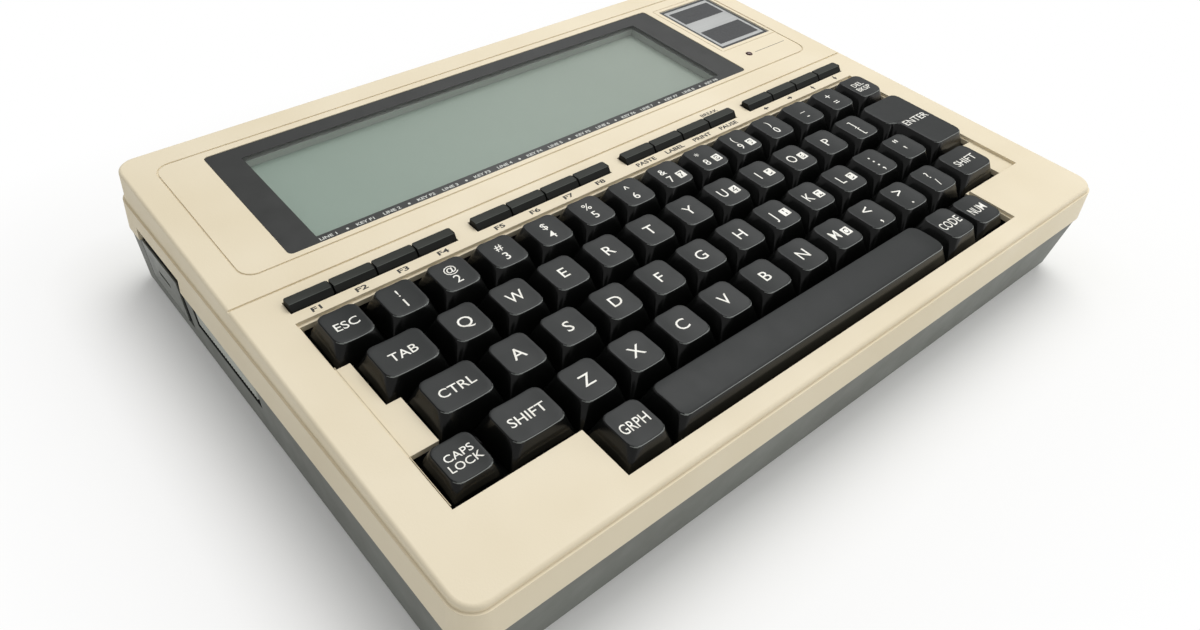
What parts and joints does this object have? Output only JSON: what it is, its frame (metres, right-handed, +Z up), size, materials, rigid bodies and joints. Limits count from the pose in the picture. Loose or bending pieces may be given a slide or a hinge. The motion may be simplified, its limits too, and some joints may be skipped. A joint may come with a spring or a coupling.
{
  "type": "slab portable computer",
  "caption": "Slab-shaped portable computer: low wedge case, inset display under a clear window, full typewriter keyboard with bar keys above it, ports at the rear.",
  "frame": {"origin": "on the table under the middle of the case", "axes": "+X across the case to the right, +Y to the rear, +Z up"},
  "size_m": [0.3, 0.215, 0.05],
  "materials": {
    "beige_case": "fine moulded texture",
    "grey_case": "fine moulded texture",
    "grey_trim": "satin",
    "key_plastic": "satin",
    "black_plastic": "satin",
    "clear_window": "polished",
    "display_glass": "satin",
    "circuit_board": "lacquered",
    "brushed_plate": "brushed",
    "red_lamp": "polished",
    "black_steel": "satin",
    "battery_sleeve": "printed sleeve",
    "connector_metal": "plated",
    "screw_steel": "zinc plated",
    "rubber": "matt"
  },
  "bodies": {
    "case": {"upper_case": "beige_case", "lower_case": "grey_case", "display_window": "clear_window", "display_frame": "grey_trim", "display_glass": "display_glass", "display_board": "circuit_board", "nameplate": "brushed_plate", "battery_lamp": "red_lamp", "keyboard_plate": "black_steel", "key_switches": "black_plastic", "keyboard_board": "circuit_board", "main_board": "circuit_board", "board_components": "black_plastic", "backup_battery": "battery_sleeve", "buzzer": "black_plastic", "serial_connector": "connector_metal", "printer_connector": "black_plastic", "phone_and_cassette_sockets": "black_plastic", "power_jack": "black_plastic", "bar_code_connector": "grey_trim", "switch_strip": "grey_trim", "battery_cells": "battery_sleeve", "battery_contacts": "connector_metal", "case_screws": "screw_steel", "rubber_feet": "rubber"},
    "keys_1_q_a_z": {"keys_1_q_a_z": "key_plastic"},
    "keys_2_w_s_x": {"keys_2_w_s_x": "key_plastic"},
    "keys_3_e_d_c": {"keys_3_e_d_c": "key_plastic"},
    "keys_4_r_f_v": {"keys_4_r_f_v": "key_plastic"},
    "keys_5_t_g_b": {"keys_5_t_g_b": "key_plastic"},
    "keys_6_y_h_n": {"keys_6_y_h_n": "key_plastic"},
    "keys_7_u_j_m": {"keys_7_u_j_m": "key_plastic"},
    "keys_8_i_k_comma": {"keys_8_i_k_comma": "key_plastic"},
    "keys_9_o_l_point": {"keys_9_o_l_point": "key_plastic"},
    "keys_0_p_semicolon_slash": {"keys_0_p_semicolon_slash": "key_plastic"},
    "keys_minus_equals_bracket_quote": {"keys_minus_equals_bracket_quote": "key_plastic"},
    "key_escape": {"key_escape": "key_plastic"},
    "key_delete": {"key_delete": "key_plastic"},
    "key_tab": {"key_tab": "key_plastic"},
    "key_control": {"key_control": "key_plastic"},
    "key_shift_left": {"key_shift_left": "key_plastic"},
    "key_shift_right": {"key_shift_right": "key_plastic"},
    "key_graph": {"key_graph": "key_plastic"},
    "key_code": {"key_code": "key_plastic"},
    "key_enter": {"key_enter": "key_plastic"},
    "key_space_bar": {"key_space_bar": "key_plastic"},
    "bar_keys_f1_f4": {"bar_keys_f1_f4": "key_plastic"},
    "bar_keys_f5_f8": {"bar_keys_f5_f8": "key_plastic"},
    "bar_keys_command": {"bar_keys_command": "key_plastic"},
    "bar_keys_arrows": {"bar_keys_arrows": "key_plastic"},
    "key_caps_lock": {"key_caps_lock": "key_plastic"},
    "key_num": {"key_num": "key_plastic"},
    "reset_button": {"reset_button": "black_plastic"},
    "power_switch_knob": {"power_switch_knob": "black_plastic"},
    "answer_originate_knob": {"answer_originate_knob": "black_plastic"},
    "coupler_knob": {"coupler_knob": "black_plastic"},
    "memory_power_knob": {"memory_power_knob": "black_plastic"},
    "battery_cover": {"battery_cover": "grey_case"},
    "expansion_cover": {"expansion_cover": "grey_case"},
    "contrast_dial": {"contrast_dial": "black_plastic"}
  },
  "joints": [
    {"name": "keys_1_q_a_z_slide", "type": "slide", "parent": "case", "child": "keys_1_q_a_z", "axis": [0, 0.0479, -0.9989], "range_m": [0, 0.0035], "stiffness_N_per_m": 140, "springref_m": -0.001},
    {"name": "keys_2_w_s_x_slide", "type": "slide", "parent": "case", "child": "keys_2_w_s_x", "axis": [0, 0.0479, -0.9989], "range_m": [0, 0.0035], "stiffness_N_per_m": 140, "springref_m": -0.001},
    {"name": "keys_3_e_d_c_slide", "type": "slide", "parent": "case", "child": "keys_3_e_d_c", "axis": [0, 0.0479, -0.9989], "range_m": [0, 0.0035], "stiffness_N_per_m": 140, "springref_m": -0.001},
    {"name": "keys_4_r_f_v_slide", "type": "slide", "parent": "case", "child": "keys_4_r_f_v", "axis": [0, 0.0479, -0.9989], "range_m": [0, 0.0035], "stiffness_N_per_m": 140, "springref_m": -0.001},
    {"name": "keys_5_t_g_b_slide", "type": "slide", "parent": "case", "child": "keys_5_t_g_b", "axis": [0, 0.0479, -0.9989], "range_m": [0, 0.0035], "stiffness_N_per_m": 140, "springref_m": -0.001},
    {"name": "keys_6_y_h_n_slide", "type": "slide", "parent": "case", "child": "keys_6_y_h_n", "axis": [0, 0.0479, -0.9989], "range_m": [0, 0.0035], "stiffness_N_per_m": 140, "springref_m": -0.001},
    {"name": "keys_7_u_j_m_slide", "type": "slide", "parent": "case", "child": "keys_7_u_j_m", "axis": [0, 0.0479, -0.9989], "range_m": [0, 0.0035], "stiffness_N_per_m": 140, "springref_m": -0.001},
    {"name": "keys_8_i_k_comma_slide", "type": "slide", "parent": "case", "child": "keys_8_i_k_comma", "axis": [0, 0.0479, -0.9989], "range_m": [0, 0.0035], "stiffness_N_per_m": 140, "springref_m": -0.001},
    {"name": "keys_9_o_l_point_slide", "type": "slide", "parent": "case", "child": "keys_9_o_l_point", "axis": [0, 0.0479, -0.9989], "range_m": [0, 0.0035], "stiffness_N_per_m": 140, "springref_m": -0.001},
    {"name": "keys_0_p_semicolon_slash_slide", "type": "slide", "parent": "case", "child": "keys_0_p_semicolon_slash", "axis": [0, 0.0479, -0.9989], "range_m": [0, 0.0035], "stiffness_N_per_m": 140, "springref_m": -0.001},
    {"name": "keys_minus_equals_bracket_quote_slide", "type": "slide", "parent": "case", "child": "keys_minus_equals_bracket_quote", "axis": [0, 0.0479, -0.9989], "range_m": [0, 0.0035], "stiffness_N_per_m": 140, "springref_m": -0.001},
    {"name": "key_escape_slide", "type": "slide", "parent": "case", "child": "key_escape", "axis": [0, 0.0479, -0.9989], "range_m": [0, 0.0035], "stiffness_N_per_m": 140, "springref_m": -0.001},
    {"name": "key_delete_slide", "type": "slide", "parent": "case", "child": "key_delete", "axis": [0, 0.0479, -0.9989], "range_m": [0, 0.0035], "stiffness_N_per_m": 140, "springref_m": -0.001},
    {"name": "key_tab_slide", "type": "slide", "parent": "case", "child": "key_tab", "axis": [0, 0.0479, -0.9989], "range_m": [0, 0.0035], "stiffness_N_per_m": 140, "springref_m": -0.001},
    {"name": "key_control_slide", "type": "slide", "parent": "case", "child": "key_control", "axis": [0, 0.0479, -0.9989], "range_m": [0, 0.0035], "stiffness_N_per_m": 140, "springref_m": -0.001},
    {"name": "key_shift_left_slide", "type": "slide", "parent": "case", "child": "key_shift_left", "axis": [0, 0.0479, -0.9989], "range_m": [0, 0.0035], "stiffness_N_per_m": 140, "springref_m": -0.001},
    {"name": "key_shift_right_slide", "type": "slide", "parent": "case", "child": "key_shift_right", "axis": [0, 0.0479, -0.9989], "range_m": [0, 0.0035], "stiffness_N_per_m": 140, "springref_m": -0.001},
    {"name": "key_graph_slide", "type": "slide", "parent": "case", "child": "key_graph", "axis": [0, 0.0479, -0.9989], "range_m": [0, 0.0035], "stiffness_N_per_m": 140, "springref_m": -0.001},
    {"name": "key_code_slide", "type": "slide", "parent": "case", "child": "key_code", "axis": [0, 0.0479, -0.9989], "range_m": [0, 0.0035], "stiffness_N_per_m": 140, "springref_m": -0.001},
    {"name": "key_enter_slide", "type": "slide", "parent": "case", "child": "key_enter", "axis": [0, 0.0479, -0.9989], "range_m": [0, 0.0035], "stiffness_N_per_m": 140, "springref_m": -0.001},
    {"name": "key_space_bar_slide", "type": "slide", "parent": "case", "child": "key_space_bar", "axis": [0, 0.0479, -0.9989], "range_m": [0, 0.0035], "stiffness_N_per_m": 140, "springref_m": -0.001},
    {"name": "bar_keys_f1_f4_slide", "type": "slide", "parent": "case", "child": "bar_keys_f1_f4", "axis": [0, 0.0479, -0.9989], "range_m": [0, 0.0015], "stiffness_N_per_m": 160, "springref_m": -0.0006},
    {"name": "bar_keys_f5_f8_slide", "type": "slide", "parent": "case", "child": "bar_keys_f5_f8", "axis": [0, 0.0479, -0.9989], "range_m": [0, 0.0015], "stiffness_N_per_m": 160, "springref_m": -0.0006},
    {"name": "bar_keys_command_slide", "type": "slide", "parent": "case", "child": "bar_keys_command", "axis": [0, 0.0479, -0.9989], "range_m": [0, 0.0015], "stiffness_N_per_m": 160, "springref_m": -0.0006},
    {"name": "bar_keys_arrows_slide", "type": "slide", "parent": "case", "child": "bar_keys_arrows", "axis": [0, 0.0479, -0.9989], "range_m": [0, 0.0015], "stiffness_N_per_m": 160, "springref_m": -0.0006},
    {"name": "key_caps_lock_slide", "type": "slide", "parent": "case", "child": "key_caps_lock", "axis": [0, 0.0479, -0.9989], "range_m": [-0.002, 0.0015]},
    {"name": "key_num_slide", "type": "slide", "parent": "case", "child": "key_num", "axis": [0, 0.0479, -0.9989], "range_m": [-0.002, 0.0015]},
    {"name": "reset_button_slide", "type": "slide", "parent": "case", "child": "reset_button", "axis": [0, -1, 0], "range_m": [0, 0.0015], "stiffness_N_per_m": 200, "springref_m": -0.0003},
    {"name": "power_switch_knob_slide", "type": "slide", "parent": "case", "child": "power_switch_knob", "axis": [0, 1, 0], "range_m": [0, 0.004]},
    {"name": "answer_originate_knob_slide", "type": "slide", "parent": "case", "child": "answer_originate_knob", "axis": [0, 1, 0], "range_m": [0, 0.003]},
    {"name": "coupler_knob_slide", "type": "slide", "parent": "case", "child": "coupler_knob", "axis": [0, 1, 0], "range_m": [0, 0.003]},
    {"name": "memory_power_knob_slide", "type": "slide", "parent": "case", "child": "memory_power_knob", "axis": [1, 0, 0], "range_m": [0, 0.004]},
    {"name": "battery_cover_slide", "type": "slide", "parent": "case", "child": "battery_cover", "axis": [0, 0, -1], "range_m": [0, 0.02]},
    {"name": "expansion_cover_slide", "type": "slide", "parent": "case", "child": "expansion_cover", "axis": [0, 0, -1], "range_m": [0, 0.02]},
    {"name": "contrast_dial_turn", "type": "hinge", "parent": "case", "child": "contrast_dial", "pos_m": [0.13855, 0.025, 0.015], "axis": [0, 0, 1], "range_deg": [-135, 135]}
  ]
}
